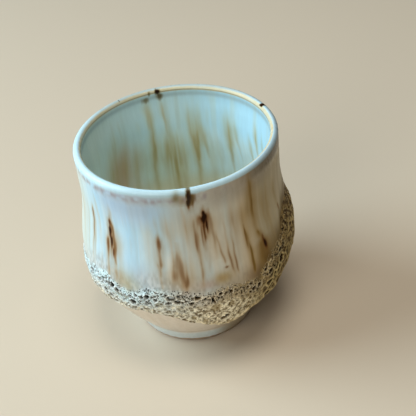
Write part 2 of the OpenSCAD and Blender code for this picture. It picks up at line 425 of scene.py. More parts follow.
# Runs of iron in the glaze: azimuth and height of the head, azimuth and height of the tail, width and
# strength. A run is strongest near its head, and a line that darkens downwards has its head at the bottom.
OUTSIDE_RUNS = (
    (-59.8, 80, -62.8, 50, 1.2, 0.85), (-59.6, 72, -61, 48, 0.9, 0.45), (-77, 84, -73, 50, 1, 0.5),
    (-56, 90, -54.5, 66, 0.9, 0.3), (-66.5, 82, -68, 50, 1.2, 0.3), (-44, 85, -46, 70, 1.5, 0.45),
    (-45.8, 78, -43.2, 55, 1.5, 0.9), (-43.6, 70, -42.3, 54, 1.6, 0.55), (-48.8, 68, -48, 50, 1.4, 0.75),
    (-49, 57, -47.6, 41, 1.8, 0.58), (-44, 60, -44, 41, 1.8, 0.58), (-40.8, 74, -39, 54, 2.6, 0.4),
    (-40, 57, -39.6, 44, 2.4, 0.4), (-46, 74, -46, 54, 4.6, 0.3), (-16.4, 84, -16, 70, 1.6, 0.3),
    (-16.2, 74, -16.4, 54, 1.8, 0.6), (-16.6, 57, -16.2, 74, 2.2, 0.6), (-18, 62, -16.6, 45, 0.9, 0.6),
    (-12.4, 86, -8.4, 58, 2.6, 0.5), (-11, 46, -9.8, 66, 2.6, 0.42), (-10.6, 49, -10.2, 60, 1.5, 0.3),
    (-4.4, 46, -7, 70, 2.2, 0.85), (-4, 49, -6, 66, 1.6, 0.6), (-8.2, 66, -7.8, 50, 1.4, 0.45),
    (-13.6, 62, -14.2, 44, 2.8, 0.3), (-2.6, 90, -2, 56, 2.6, 0.25), (2, 89, 1.6, 62, 2.4, 0.3),
    (-1, 66, -0.6, 44, 2.6, 0.25), (-1.8, 94, -1.2, 68, 1.2, 0.22), (9, 90, 8.6, 64, 4.6, 0.42),
    (5, 83, 4.2, 58, 3, 0.62), (4.2, 76, 4.6, 48, 1.5, 0.65), (4.6, 62, 3, 45, 1.4, 0.5),
    (12.4, 82, 13, 59, 2, 0.7), (9.8, 68, 8.2, 54, 1.2, 0.4), (16.8, 54.6, 14.4, 72, 0.8, 0.65),
    (20.8, 48, 18.4, 80, 1, 0.6), (23.4, 48, 22, 70, 0.8, 0.6), (20, 72, 22, 48, 3.2, 0.25),
    (24, 89, 25, 54, 1.6, 0.42), (24.4, 82, 25, 62, 3.6, 0.3), (31.2, 82, 31.8, 62, 3.4, 0.55),
    (33.2, 44, 31, 70, 1, 0.9), (31.2, 69, 32.2, 46, 1.1, 0.75), (36.8, 92, 39, 60, 1.9, 0.75),
    (37.4, 86, 39, 62, 3.4, 0.4), (39, 65, 43.2, 51, 1.4, 0.85), (41.4, 60, 40.6, 44, 4.2, 0.7),
    (38.5, 56, 37, 44, 3.4, 0.4), (46, 84, 47, 58, 1.6, 0.3), (50, 86, 51, 52, 2.2, 0.4),
    (58, 82, 60, 64, 2, 0.35),
)
# Dark spots: azimuth, height, half width, half height, strength
OUTSIDE_SPOTS = (
    (8.9, 81.4, 0.8, 1.8, 0.8), (8.4, 79, 1.1, 2.2, 0.7), (6.9, 78.8, 0.9, 2.4, 0.26),
    (10.2, 79, 0.9, 2.6, 0.36), (8.4, 73.8, 0.4, 3.6, 0.5), (6.9, 72.5, 0.35, 4, 0.3),
    (10.2, 75.4, 0.4, 2.4, 0.55), (61.3, 64.8, 0.35, 1.3, 0.35), (-45.9, 74.5, 0.6, 1.8, 0.55),
    (-46.3, 70.5, 0.8, 2.2, 0.72), (-45.4, 65.8, 0.7, 2.8, 0.68), (-44.4, 61, 0.6, 2.4, 0.5),
    (-48.5, 63.5, 0.5, 2.4, 0.3), (-16.3, 69.4, 0.8, 2.4, 0.42), (42.8, 55.8, 0.75, 2, 0.62),
    (42.3, 57.2, 0.55, 1.6, 0.42), (41.8, 58.8, 0.5, 2.2, 0.42), (17.2, 54.8, 0.6, 0.4, 0.4),
)
INSIDE_RUNS = (
    (-163.4, 92, -162, 74, 1.8, 0.55), (-165.2, 90, -164.4, 64, 1.7, 0.55),
    (-164.2, 84, -164, 32, 2.8, 0.65), (-164.4, 76, -164, 32, 5.4, 0.35),
    (-172.8, 92, -175.2, 68, 1.3, 0.55), (-174.8, 82, -179.5, 32, 3.2, 0.62),
    (-176, 74, -177, 32, 6, 0.35), (169.9, 88, 166.6, 54, 2.6, 0.55), (161.4, 88, 165.8, 52, 2.2, 0.45),
    (166.4, 76, 166.4, 30, 2.6, 0.6), (164.5, 76, 165.8, 52, 4, 0.3), (161, 78, 158.8, 54, 2.2, 0.4),
    (141.4, 87, 140.4, 54, 3, 0.5), (140, 80, 141.4, 46, 2, 0.45), (135, 82, 132.6, 56, 1.3, 0.3),
    (114.6, 85, 112.8, 60, 1.4, 0.55), (122, 77, 121, 54, 1.6, 0.35), (105, 83, 104, 58, 1.2, 0.4),
    (-128, 80, -127.6, 34, 3.6, 0.5), (-141, 80, -142, 34, 4, 0.4), (-134, 74, -134, 32, 4.4, 0.4),
    (-150.4, 74, -149.5, 32, 3, 0.4), (-133.2, 84, -133.4, 58, 2.4, 0.35),
    (-117, 70, -117, 40, 3.2, 0.25), (-170.5, 72, -172.5, 34, 3, 0.2), (-157, 72, -157, 34, 3, 0.2),
    (-180, 72, -179.6, 34, 3, 0.35), (176, 74, 176.5, 32, 3.4, 0.45), (156, 72, 156, 34, 3, 0.15),
    (149, 72, 150, 44, 2.6, 0.15),
)
INSIDE_SPOTS = (
    (-172.2, 92, 1.2, 1, 0.95), (-173.2, 89.8, 1.5, 1.4, 0.5), (-163.6, 89.2, 1.7, 1.3, 0.4),
    (-166.4, 91.7, 0.6, 0.9, 0.45), (-145.8, 92.9, 0.3, 0.3, 0.6),
)
RIM_SPOTS = (
    (2.4, 92.6, 0.9, 0.8, 0.6), (2.1, 91, 0.9, 1.7, 0.74), (1.7, 87.8, 0.75, 1.7, 0.68),
    (4.2, 89.4, 1.1, 2, 0.42), (109, 93, 1.1, 1.1, 0.9),
)


def runs(a, z, listed, sharp=0.6, fade=0.5, taper=0.4):
    """Share of iron, from 0 to 1, that the listed runs lay over the surface.

    Runs at least as strong as sharp start sharply. fade and taper say how they end.
    """
    clear = np.ones_like(a)
    for n, (head_a, head_z, tail_a, tail_z, width, strength) in enumerate(listed):
        t = (head_z - z) / (head_z - tail_z)
        wander = 0.5 * np.sin(z * 0.31 + n * 1.7) + 0.3 * np.sin(z * 0.83 + n)
        across = around_from(a, head_a + (tail_a - head_a) * t + wander * 0.5) * MM_PER_DEGREE
        wide = width * (0.55 + 0.45 * ease(t / 0.3)) * (1 - taper * ease((t - 0.3) / 0.7))
        shape = 0.6 * np.exp(-2.2 * (across / wide) ** 2) + 0.4 * np.exp(-0.5 * (across / wide) ** 2)
        head = 0.18 if strength >= sharp else 0.5
        clear *= 1 - strength * shape * ease(t / head) * unit(1 - t) ** fade
    return 1 - clear


def spots(a, z, listed, grow=1.0):
    """Share of dark iron in the listed spots, with ragged edges. A grown spot is the stain around it."""
    clear = np.ones_like(a)
    ragged = 1 + 0.45 * (noise(a, z / 100, 420, 40, 31) - 0.5)
    ragged += 0.4 * (noise(a, z / 100, 200, 14, 32) - 0.5)
    for at, height, wide, high, strength in listed:
        drop = (height - z) / high
        drop = np.where(drop > 0, drop * 0.75, drop * 1.3)
        d = np.hypot(around_from(a, at) * MM_PER_DEGREE / wide, drop) * ragged
        clear *= 1 - strength * ease((1.5 - d / grow) / 1.1)
    return 1 - clear


def stray_runs(seed, count, sides, tops, lengths, widths, most):
    """More runs at random, within ranges of azimuth, upper end, length and width, and up to a strength."""
    g = np.random.default_rng(seed)
    found = []
    for _ in range(count):
        at, top = g.uniform(*sides), g.uniform(*tops)
        tail = at + g.normal(0, 1.2), top - g.uniform(*lengths)
        found.append((at, top, *tail, g.uniform(*widths), most * g.random()))
    return tuple(found)


# On the sides that the photograph doesn't show, and faint ones everywhere
HIDDEN_RUNS = stray_runs(5, 44, (86, 276), (66, 90), (14, 36), (0.9, 2.8), 0.8)
HIDDEN_SPOTS = tuple(
    (at, head - 2, 0.3 + 0.3 * width, 1.2 + 1.1 * width, min(0.95, 0.35 + strength))
    for at, head, _, _, width, strength in HIDDEN_RUNS[::5]
)
FAINT_RUNS = stray_runs(6, 60, (-180, 180), (60, 91), (14, 40), (0.5, 1.5), 0.3)
INSIDE_HIDDEN = stray_runs(8, 34, (-112, 98), (60, 88), (16, 36), (1.0, 3.4), 0.65)
INSIDE_FAINT = stray_runs(9, 80, (-180, 180), (52, 90), (10, 34), (0.8, 2.0), 0.28)
OLIVE_BROWN = "5C4A22"


def spotted(c, depth, thin="663C1A"):
    """Paint with dark spots on it: brown where they are thin, and nearly black where they are deep."""
    c = paint_over(c, thin, unit(1.5 * depth))
    return paint_over(c, "241002", ease((depth - 0.35) / 0.45))


def outside_paint(a, z):
    """Colour of the wall's outside, from pale blue on the left to beige on the right, partly painted light
    and shade, with iron runs.
    """
    v = z / 100
    broad, fine, hair = noise(a, v, 30, 3, 41), noise(a, v, 120, 5, 42), noise(a, v, 330, 9, 43)
    # Ground, partly the glaze's own colour and partly painted light: bluer on the left where the window
    # light falls, beige in painted shade on the right; and fine streaks in it
    side = about(a, 75, 97, 60)
    warm = unit(0.95 * side + 0.45 * (broad - 0.5) + 0.2 * (fine - 0.5))
    c = paint_over(ground("AFD5EC", a), "D8C9B0", warm)
    # Painted shade: the right side, turned away from the window, darker grey-brown
    c = paint_over(c, "9C8E6E", 0.85 * window(a, 18, 36, 175, 50))
    # Painted shade lifted a little on the far right, above the band
    c = paint_over(c, "C8BEA2", 0.7 * window(a, 34, 20, 120, 20) * ease((z - 54) / 10))
    c = paint_over(c, "D4DCD2", 0.8 * about(a, -92, 40, 25))
    c = paint_over(c, "C2BDB4", 0.12 * ease((hair - 0.55) / 0.3))
    pale = noise(a, v, 210, 3, 44)
    c = paint_over(c, "F2F2EE", 0.12 * ease((pale - 0.5) / 0.35))
    c = paint_over(c, "9C9A94", 0.08 * ease((0.44 - pale) / 0.3))
    # Blue and grey under the lip, the grey partly painted shade of the lip, and cream between the runs
    c = paint_over(c, "B2C2DE", 0.4 * ease((z - 72) / 10) * about(a, -32, 22, 14))
    c = paint_over(c, "9AB0C6", 0.35 * ease((z - 79) / 6) * about(a, -32, 26, 14))
    cream = bell(around_from(a, -21.5), 4.5) * window(z, 46, 8, 82, 10)
    c = paint_over(c, "D4C0A2", 0.45 * cream * (0.7 + 0.5 * fine))
    gap = bell(around_from(a, -12), 2) * window(z, 50, 6, 68, 8)
    c = paint_over(c, "F2F2EA", 0.5 * gap)
    c = paint_over(c, "CFC3AE", 0.3 * ease((z - 68) / 8) * about(a, -3, 12, 8))
    # Painted shade under the lip on the right
    c = paint_over(c, "8E867C", 0.45 * ease((z - 79) / 8) * window(a, 4, 14, 70, 25))
    c = paint_over(c, "A8B0B4", 0.26 * ease((z - 74) / 10) * about(a, -12, 38, 25) * (0.5 + 0.6 * fine))
    # Painted shade in a thin band just under the lip's bead
    c = paint_over(c, "A59C90", 0.3 * bell(z - 88, 1.6) * about(a, 5, 70, 40) * (0.4 + 0.8 * fine))
    # Smoke above the crater band, and patches in it; on the right the brown there is partly a stain and
    # partly painted shade
    lilac = blob(a, z, -27, 53, 9, 5)
    c = paint_over(c, "B4B9C8", 0.5 * lilac * (0.5 + 0.7 * fine))
    cloud = blob(a, z, -8, 51, 11, 8)
    c = paint_over(c, "B39B76", 0.45 * cloud * (0.4 + 0.9 * fine))
    smoke_and_shade = ease((band_top(a) + 10 - z) / 10)
    c = paint_over(c, "B4AFA8", 0.5 * smoke_and_shade * (0.4 + 0.6 * fine) * (1 - window(a, 20, 20, 200, 40)))
    speckle = noise(a, v, 400, 60, 45)
    c = paint_over(c, "E0E6EA", 0.5 * smoke_and_shade * ease((speckle - 0.5) / 0.3) * ease((20 - a) / 30))
    c = paint_over(c, "98938E", 0.4 * smoke_and_shade * ease((0.46 - speckle) / 0.3))
    # Brown above the band on the front right: partly stain, partly painted shade
    c = paint_over(c, "A08A68", 0.4 * smoke_and_shade * window(a, 2, 20, 60, 20))
    olive = blob(a, z, -36, 48, 6, 6)
    c = paint_over(c, "B0A47E", 0.75 * olive * (0.4 + 0.9 * fine))
    haze = blob(a, z, 34, 46, 5, 3.5)
    c = paint_over(c, "8A6C52", 0.6 * haze)
    # Dark brown close above the band on the right: partly stain, partly painted shade of the right side
    deep = smoke_and_shade ** (1.3 + 2.2 * window(a, 48, 12, 125, 20))
    c = paint_over(c, "6F5A34", 0.9 * deep * window(a, 22, 25, 200, 50) * (0.6 + 0.6 * broad))
    ochre = blob(a, z, 14, 50.5, 5, 2.6)
    c = paint_over(c, "A98F5C", 0.8 * ochre * (0.3 + 1.0 * fine))
    stain = blob(a, z, 41, 52.5, 3.2, 5)
    c = paint_over(c, "3E2400", np.clip(1.3 * stain, 0, 0.94) * (0.8 + 0.2 * fine))
    rust = blob(a, z, -5, 50, 2.2, 5)
    c = paint_over(c, "A07042", 0.4 * rust)
    rose = blob(a, z, 6, 49, 5, 2.2)
    c = paint_over(c, "B5988A", 0.5 * rose)
    # Iron runs, with dark spots in them
    c = paint_over(c, "C3AC84", 0.6 * runs(a, z, FAINT_RUNS))
    iron = unit(runs(a, z, OUTSIDE_RUNS + HIDDEN_RUNS) * (0.5 + 0.65 * hair + 0.35 * fine))
    c = paint_over(c, "AB906C", unit(1.3 * iron) * 0.85)
    c = paint_over(c, "6E5034", 0.8 * ease((iron - 0.4) / 0.5))
    c = paint_over(c, "806422", 0.65 * iron * window(a, 26, 8, 80, 20))
    dark = OUTSIDE_SPOTS + HIDDEN_SPOTS + RIM_SPOTS
    c = paint_over(c, "86623A", 0.5 * spots(a, z, dark, 2.0) * (0.5 + 0.7 * hair))
    return spotted(c, spots(a, z, dark))


def rim_paint(a, z, turn):
    """Colour of the lip: white, with an ochre line where the glaze runs thin.

    turn goes from 0 on the outside over the top to 1 on the inside.
    """
    v = z / 100
    patchy, fine = noise(a, v, 60, 30, 51), noise(a, v, 200, 40, 52)
    c = outside_paint(a, np.minimum(z, 89))
    lowest = 88.8 + window(a, -50, 30, 150, 30) + 1.6 * window(a, 3, 20, 150, 30)
    white = np.maximum(ease((z - lowest - 0.6 + 0.9 * (fine - 0.5)) / 1.6), ease(turn / 0.12))
    c = paint_over(c, "C0E2F2", white)
    # Painted shade: blue-grey on the outer face of the lip at the front
    c = paint_over(c, "A8C2CC", 0.75 * white * window(a, -52, 30, 80, 30) * ease((0.6 - turn) / 0.3))
    # Painted shade: dark grey-brown on the outer face of the lip on the right
    shaded_side = window(a, 25, 35, 170, 40) * ease((0.35 - turn) / 0.3)
    c = paint_over(c, "665C4A", 0.92 * ease((z - 86.5) / 3) * shaded_side)
    # Painted shade: the top and inner face of the lip at the back made greyer
    c = paint_over(c, "A6B2B0", 0.8 * (turn > 0) * ease((abs(around_from(a, 0)) - 100) / 50))
    beside = about(a, 85, 65, 40)
    # Painted shade: blue-grey on the outer half of the lip on the right
    c = paint_over(c, "8FA6B2", 0.7 * beside * ease((0.62 - turn) / 0.2) * ease(turn / 0.12))
    # The ochre line along the inner edge, and a thin place on the front right
    line = np.exp(-(((turn - 0.83 + 0.06 * beside + 0.06 * (fine - 0.5)) / (0.12 + 0.04 * beside)) ** 4))
    c = paint_over(c, "D0C4A0", 0.9 * line * (0.75 + 0.4 * patchy))
    c = paint_over(c, "98794A", 0.7 * bell(turn - 0.97, 0.045))
    thin = bell(turn - 0.63, 0.05) * window(a, 8, 20, 95, 20)
    c = paint_over(c, "D9B882", 0.75 * thin * (0.6 + 0.5 * fine))
    # Blush, stains and spots where the white ends
    blush = bell(z - 89.2 + 1.2 * (patchy - 0.5), 1.3) * (turn <= 0)
    c = paint_over(c, "968C90", 0.7 * blush * ease((fine - 0.2) / 0.6) * about(a, -25, 55, 20))
    olive = blob(a, z, -3.8, 90.2, 2.0, 2.4) * (turn <= 0.5)
    c = paint_over(c, "6E5E38", 0.85 * olive * (0.55 + 0.6 * fine))
    brown = blob(a, z, -1.4, 88.8, 1.4, 2) * (turn <= 0)
    c = paint_over(c, "7A6240", 0.7 * brown * (0.55 + 0.6 * fine))
    c = spotted(c, spots(a, np.where(turn > 0.5, z, 70), INSIDE_SPOTS), OLIVE_BROWN)
    return spotted(c, spots(a, z, RIM_SPOTS) * (turn <= 0.75), OLIVE_BROWN)


# Radius of the glaze pooled on the floor inside, and the height that it stays below
POOL_R, POOL_BELOW_Z = 27, 40


def inside_paint(a, z, r):
    """Colour of the inside: pale celadon with olive runs, and glaze pooled on the floor."""
    v = z / 100
    broad, fine, hair = noise(a, v, 26, 3, 61), noise(a, v, 100, 5, 62), noise(a, v, 300, 8, 63)
    c = paint_over(ground("C2E0E6", a), "CDEAF2", unit(1.2 * broad - 0.1))
    # Painted reflected light: warmer, greener paint on the shaded inner wall on the left
    c = paint_over(c, "DDE2D3", 0.75 * about(a, -95, 75, 60))
    # Painted light: bluer on the inner wall on the right, where the window light falls
    c = paint_over(c, "9FD4F2", 0.6 * about(a, 115, 70, 45))
    c = paint_over(c, "BFD0C8", 0.4 * ease((fine - 0.45) / 0.4))
    # Grey-blue ring below the lip: partly where the glazes meet, partly painted shade under the lip
    c = paint_over(c, "93A6AA", 0.6 * bell(z - 89.5, 1.1))
    c = paint_over(c, "98ACA8", 0.15 * ease((z - 68) / 14) * about(a, -160, 85, 40))
    c = paint_over(c, "C8B283", 0.8 * ease((z - 91.1) / 0.3))
    # Painted light: paler lower down and at middle heights, where less light reaches inside
    c = paint_over(c, "EEECDA", 0.75 * ease((66 - z) / 36) * (0.3 + 0.7 * ease((z - 20) / 14)))
    c = paint_over(c, "E4F2F2", 0.42 * window(z, 42, 10, 76, 12))
    c = paint_over(c, "D6BC90", 0.5 * window(z, 22, 12, 50, 12))
    patch = bell(around_from(a, -138), 12.5) * window(z, 14, 16, 80, 22)
    c = paint_over(c, "CEA892", 0.95 * patch * (0.5 + 0.7 * fine))
    c = paint_over(c, "B5A876", 0.8 * runs(a, z, INSIDE_FAINT))
    iron = runs(a, z, INSIDE_RUNS + INSIDE_HIDDEN, sharp=0.7, fade=0.4, taper=0.75)
    iron = unit(iron * (0.55 + 0.55 * hair + 0.4 * fine))
    c = paint_over(c, "B59A5C", unit(1.3 * iron) * 0.88)
    c = paint_over(c, "947A46", 0.5 * ease((iron - 0.4) / 0.5))
    c = paint_over(c, "868C74", 0.5 * iron * about(a, 120, 50, 25))
    # Pool on the floor, mottled across it
    x, y = r * np.sin(np.radians(a)), -r * np.cos(np.radians(a))
    mottle = 0.6 * flat_noise(x, y, 7, 64) + 0.4 * flat_noise(x, y, 2.4, 65)
    pool = paint_over(ground("BFD9D6", a), "D2DCCB", mottle)
    pool = paint_over(pool, "A9C2B8", 0.5 * ease((mottle - 0.5) / 0.4))
    speck = 0.8 * flat_noise(x, y, 3.1, 66) + 0.2 * flat_noise(x + y, y - x, 2.2, 67)
    pool = paint_over(pool, "9C8A5C", 0.4 * ease((speck - 0.7) / 0.25))
    on_floor = z < POOL_BELOW_Z
    c = c + (pool - c) * ease((POOL_R + 8 * (mottle - 0.5) - r) / 9 * on_floor)[..., None]
    c = paint_over(c, "A8946A", 0.3 * bell(r - POOL_R - 6 * (mottle - 0.5), 1.6) * on_floor * fine)
    return spotted(c, spots(a, z, INSIDE_SPOTS), OLIVE_BROWN)


def spread_out(path, cols):
    """Azimuth, height and radius at each point of a turned path."""
    return (np.broadcast_to(p, (len(path), cols)) for p in (azimuths(cols), path[:, 1:], path[:, :1]))


def uneven(a, z, depth, seed):
    """Slow swells of a thrown wall, with faint rings from the fingers."""
    rings = np.sin(z * 0.85 + 1.5 * np.sin(np.radians(a) + z * 0.05))
    return depth * (noise(a, z / 100, 14, 9, seed) - 0.5 + 0.06 * rings)


def along_z(function, low, high, count=PROFILE_ROWS):
    """Path of the radii that a function gives between two heights."""
    z = np.linspace(low, high, count)
    return np.stack([function(z), z], 1)


# Outside of the wall
path = resample(along_z(outer_r, COAT_LINE_Z, RIM_Z), 0.42)
a, z, _ = spread_out(path, WALL_COLS)
calm = ease((RIM_Z - z) / 6)
points = turned(path, WALL_COLS, uneven(a, z, 0.2, 71) * calm - bed(a, z))
piece("mug_wall", points, outside_paint(a, z), SATIN, "outer_glaze", "outer_glaze")

# Lip
arc = np.radians(np.linspace(0, 180, 60))
lip = np.stack([LIP_R - LIP_T / 2 * (1 - np.cos(arc)), LIP_Z + LIP_T / 2 * np.sin(arc)], 1)
path = resample(np.vstack([along_z(outer_r, RIM_Z, LIP_Z)[:-1], lip]), 0.22)
a, z, r = spread_out(path, RIM_COLS)
inward = unit((LIP_R - r) / LIP_T) * (z >= LIP_Z - 0.1)
turn = np.arccos(np.clip(1 - 2 * inward, -1, 1)) / math.pi
points = turned(path, RIM_COLS, 0)
piece("mug_rim", points, rim_paint(a, z, turn), GLOSSY, "rim_glaze", "rim_glaze")

# Inside
t = np.linspace(0, 0.995, 200)
path = np.vstack([along_z(inner_r, BELLY_Z, LIP_Z)[::-1], np.stack(bowl(t), 1)[1:]])
path = np.vstack([resample(path[:PROFILE_ROWS], 0.44), resample(path[PROFILE_ROWS:], 0.9)])
a, z, r = spread_out(path, LINER_COLS)
calm = ease((LIP_Z - z) / 6) * ease((r - 5) / 18)
points = turned(path, LINER_COLS, uneven(a, z, 0.35, 72) * calm)
piece("mug_liner", points, inside_paint(a, z, r), LINER, "liner_glaze", "liner_glaze", close_end=True)

# Lower wall and foot, with a soft corner between them
path = resample(along_z(outer_r, BARE_H, COAT_LINE_Z), 0.5)
for _ in range(6):
    path[1:-1, 0] = (path[:-2, 0] + 2 * path[1:-1, 0] + path[2:, 0]) / 4
a, z, _ = spread_out(path, BASE_COLS)
v = z / 100
broad, fine = noise(a, v, 20, 8, 81), noise(a, v, 110, 9, 82)
c = paint_over(ground("E4DCD1", a), "D6CAB8", unit(broad + 0.5 * (fine - 0.5)))
pale_below = 9.8 + 1.6 * (broad - 0.5) + 2.2 * window(a, -120, 30, -15, 20)
c = paint_over(c, "CEE0E8", 0.85 * ease((pale_below - z) / 3.2))
# Painted shade: brown on the right side of the lower wall and foot
c = paint_over(c, "98815C", 0.7 * window(a, 8, 24, 170, 60))
# Painted shade in the soft corner between the lower wall and the foot
c = paint_over(c, "AFA08A", 0.4 * bell(z - 9.3, 0.7))
c = paint_over(c, "A48055", ease((1.9 + 0.7 * (fine - 0.5) - z) / 0.7))
# Painted shadow under the crater band on the front right
c = paint_over(c, "7E6848", 0.5 * ease((z - band_low(a) + 5) / 5) * window(a, 2, 18, 90, 30))
# Dark line under the band: partly iron, partly painted shadow under the crust's lip
c = paint_over(c, "704A2C", 0.8 * bell(band_low(a) - 0.3 - z, 0.7))
points = turned(path, BASE_COLS, uneven(a, z, 0.16, 73) * ease(z / 6) - bed(a, z))
piece("mug_base", points, c, BASE, "base_glaze", "base_glaze")

# Foot ring, bare and turned, with rounded lower edges. Its ends run into the clay and under the base glaze.
edge_out, edge_in = outer_r(BARE_H) - COAT_T, RING_IN_R
arc = np.radians(np.linspace(0, 90, 9))
ring = [(edge_in, RING_H + 0.2)]
ring += [(edge_in + RING_ROUND * (1 - math.cos(x)), RING_ROUND * (1 - math.sin(x))) for x in arc]
ring += [(edge_out - RING_ROUND * (1 - math.sin(x)), RING_ROUND * (1 - math.cos(x))) for x in arc]
ring += [(edge_out + 0.45, BARE_H + 0.6)]
path = resample(ring, 0.2)
a, z, r = spread_out(path, FOOT_COLS)
grooves = 0.04 * np.sin(r * 6.5 + np.radians(a)) * ease((0.5 - z) / 0.4)
grooves += 0.05 * (noise(a, z / 10, 90, 9, 84) - 0.5)
tone = noise(a, z / 10 + r / 30, 70, 14, 85)
c = paint_over(ground("B48F62", a), "8E6840", tone)
c = paint_over(c, "5B3D22", ease((noise(a, z / 10 + r / 30, 260, 40, 86) - 0.86) / 0.1))
points = turned(path, FOOT_COLS, np.minimum(grooves, 0))
piece("mug_foot", points, c, CLAY, "foot_ring", "stoneware_clay")

# Clay body: the turned recess inside the foot, which runs on into the ring, and the wall under the coats
RECESS_ROWS, RECESS_R, RECESS_LIFT = 90, 24.8, 0.15
across = np.linspace(0.4, RECESS_R, RECESS_ROWS)
recess = np.stack([across, np.full(RECESS_ROWS, RING_H + RECESS_LIFT)], 1)
outside = along_z(outer_r, RING_H, LIP_Z, 70)
inside = along_z(inner_r, BELLY_Z, LIP_Z, 40)[::-1]
round_floor = np.stack(bowl(np.linspace(0, 0.98, 40)), 1)[1:]
skin = np.vstack([outside, lip[1:-1:6], inside, round_floor])
body = skin - COAT_T * normals(skin)
path = np.vstack([recess, body[2:]])
a, _, r = spread_out(path, CLAY_COLS)
in_recess = np.arange(len(path))[:, None] < RECESS_ROWS
spiral = 0.12 * np.sin(2 * math.pi * r / 2.1 + np.radians(a)) + 0.15 * (noise(a, r / 30, 20, 10, 87) - 0.5)
tone = noise(a, r / 50, 60, 40, 88)
c = paint_over(ground("B79468", a), "9A7549", tone)
c = paint_over(c, "5B3D22", ease((noise(a, r / 50, 200, 90, 89) - 0.86) / 0.1))
lift = np.where(in_recess, spiral * ease((20 - r) / 3) * ease(r / 2), 0)
points = turned(path, CLAY_COLS, lift)
piece("mug_clay", points, c, CLAY, "clay_body", "stoneware_clay", close_start=True, close_end=True)


# Crater band
def foam_cells(x, y, size, tall, seed):
    """Foam of cells about a size across, tall times as high, that closes around the mug.

    Gives how far each point is from the middle of its cell and from the wall of the cell, and two random
    numbers of the cell.
    """
    count = int(round(360 * MM_PER_DEGREE / size))
    across, up = x / (360 * MM_PER_DEGREE) * count, y / (size * tall)
    i, j = np.floor(across).astype(int), np.floor(up).astype(int)
    strewn = np.random.default_rng(seed).random((j.max() + 3, count, 4))
    near, second, own = np.full(x.shape, 9.0), np.full(x.shape, 9.0), np.zeros(x.shape + (2,))
    for di in (-1, 0, 1):
        for dj in (-1, 0, 1):
            spot = strewn[j + dj + 1, (i + di) % count]
            d = np.hypot(i + di + spot[..., 0] - across, j + dj + spot[..., 1] - up)
            closer = d < near
            second = np.where(closer, near, np.minimum(second, d))
            near = np.where(closer, d, near)
            own = np.where(closer[..., None], spot[..., 2:], own)
    return near * size, (second - near) / 2 * size, own[..., 0], own[..., 1]


# Pores that the photograph shows: azimuth, height, half width, half height, depth from 0 to 1.
# One that is shallower than a dish has foam on its floor.
DISH = 0.54
SHOWN_PORES = (
    (-56.5, 43.5, 1, 1.1, 0.9), (-52.5, 44, 0.8, 0.8, 0.7), (-46.5, 44.5, 1.1, 1.3, 0.9),
    (-43.5, 43, 1, 1.1, 1), (-49, 38, 1.1, 1.2, 0.7), (-42, 41, 1.7, 1.6, 0.45),
    (-38, 40.5, 1.3, 1.2, 0.45), (-47, 35.5, 1.6, 1, 0.8), (-34, 39.5, 1.4, 1.5, 1),
    (-31.5, 38.5, 0.7, 0.7, 0.9), (-28.5, 43.5, 0.8, 0.9, 0.85), (-25.5, 44, 1, 1.1, 1),
    (-21, 43, 0.8, 0.9, 0.75), (-19, 40.5, 2, 1.6, 0.42), (-13, 44, 1.8, 1.4, 0.72),
    (-14.5, 41.5, 1.3, 0.7, 0.95), (-9.3, 44.7, 0.7, 0.8, 1), (-7.4, 45.4, 0.6, 0.7, 0.9),
    (-10, 42, 1.2, 1.2, 0.75), (-3, 41, 1, 1.1, 1), (0.5, 43.5, 1.3, 1.2, 0.6), (4.5, 44.5, 0.9, 1, 0.65),
    (-3, 32, 1.2, 1.5, 0.5), (12, 43, 1, 0.9, 0.95), (16.5, 46.5, 0.6, 0.7, 0.9),
    (18.5, 47.5, 0.6, 0.7, 0.9), (17.5, 45, 0.7, 0.7, 0.9), (25, 44.5, 0.6, 0.7, 0.9),
    (29.5, 42, 0.8, 1, 1), (31, 39, 1, 1.2, 1), (34.5, 39, 1.2, 1.2, 0.7), (42.5, 42.5, 1.2, 1.3, 0.9),
    (39.5, 44.5, 0.9, 1, 0.8), (44, 48.5, 0.9, 1, 0.75), (46.5, 43, 0.8, 0.9, 1), (53, 47.5, 1.1, 1.2, 1),
    (51.5, 51, 0.8, 0.9, 0.9), (55.5, 52, 0.8, 0.9, 0.9), (53.5, 42.5, 1.9, 2.2, 0.65),
    (51, 38.5, 1.8, 2.5, 0.6), (42.5, 29, 2, 1.5, 0.75), (-59, 46, 0.5, 0.6, 0.8),
    (-57, 46.5, 0.5, 0.6, 0.8), (-47, 47.5, 0.5, 0.6, 0.8), (-48.5, 42.5, 0.6, 0.7, 0.8),
    (-41.5, 45, 0.6, 0.7, 0.8), (-35, 42.5, 0.6, 0.7, 0.9), (-26, 41.5, 0.6, 0.7, 0.9),
    (-2, 39, 0.7, 0.7, 0.9), (4, 42, 0.7, 0.7, 0.9), (45, 50, 0.8, 1, 0.85), (43, 48, 0.7, 0.9, 0.9),
    (40.5, 46, 0.7, 0.9, 0.9), (50.5, 46.5, 0.7, 0.8, 0.9), (28.5, 38, 0.6, 0.7, 0.9),
    (47, 36.5, 0.7, 1, 0.8), (15.4, 27.4, 1.1, 2, 0.95), (13.2, 26.2, 1.3, 1.8, 0.75),
    (17.5, 35.5, 1.4, 2, 0.45), (9, 36, 2.2, 2.6, 0.45), (35.2, 41.8, 1.6, 1.8, 0.5),
    (3, 28, 1.4, 1.7, 0.42),
)
FACE_ROWS, LIP_ROWS = 98, 9
# Height of the rounded lower lip, how far it tucks in, and how far the thin face runs on above the band
LIP_H, TUCK, RUN_ON = 0.55, 0.12, 1.6
